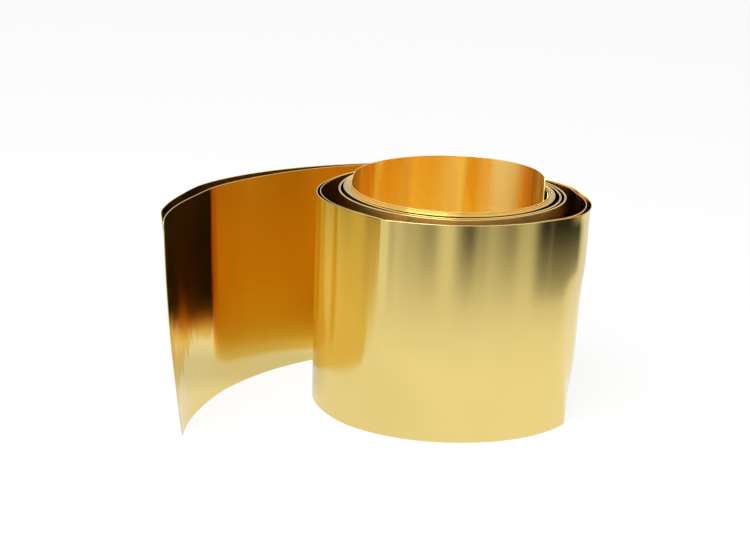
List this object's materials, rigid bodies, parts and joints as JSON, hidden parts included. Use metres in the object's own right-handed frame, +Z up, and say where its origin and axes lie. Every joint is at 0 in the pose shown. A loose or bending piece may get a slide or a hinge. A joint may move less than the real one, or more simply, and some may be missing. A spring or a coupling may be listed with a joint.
{
  "type": "brass coil",
  "caption": "Roll of thin brass strip standing on its edge, wound round an open eye, with loose outer turns and its outer end let out in a curve.",
  "frame": {"origin": "on the axis of the eye, at the level that the roll stands on", "axes": "+Z up along the eye's axis, +X to the right as the picture shows it, and the let-out end runs to -X"},
  "size_m": [0.1886, 0.1295, 0.1069],
  "materials": {
    "brass": "bright rolled"
  },
  "bodies": {
    "root": {"coil": "brass"}
  },
  "joints": []
}
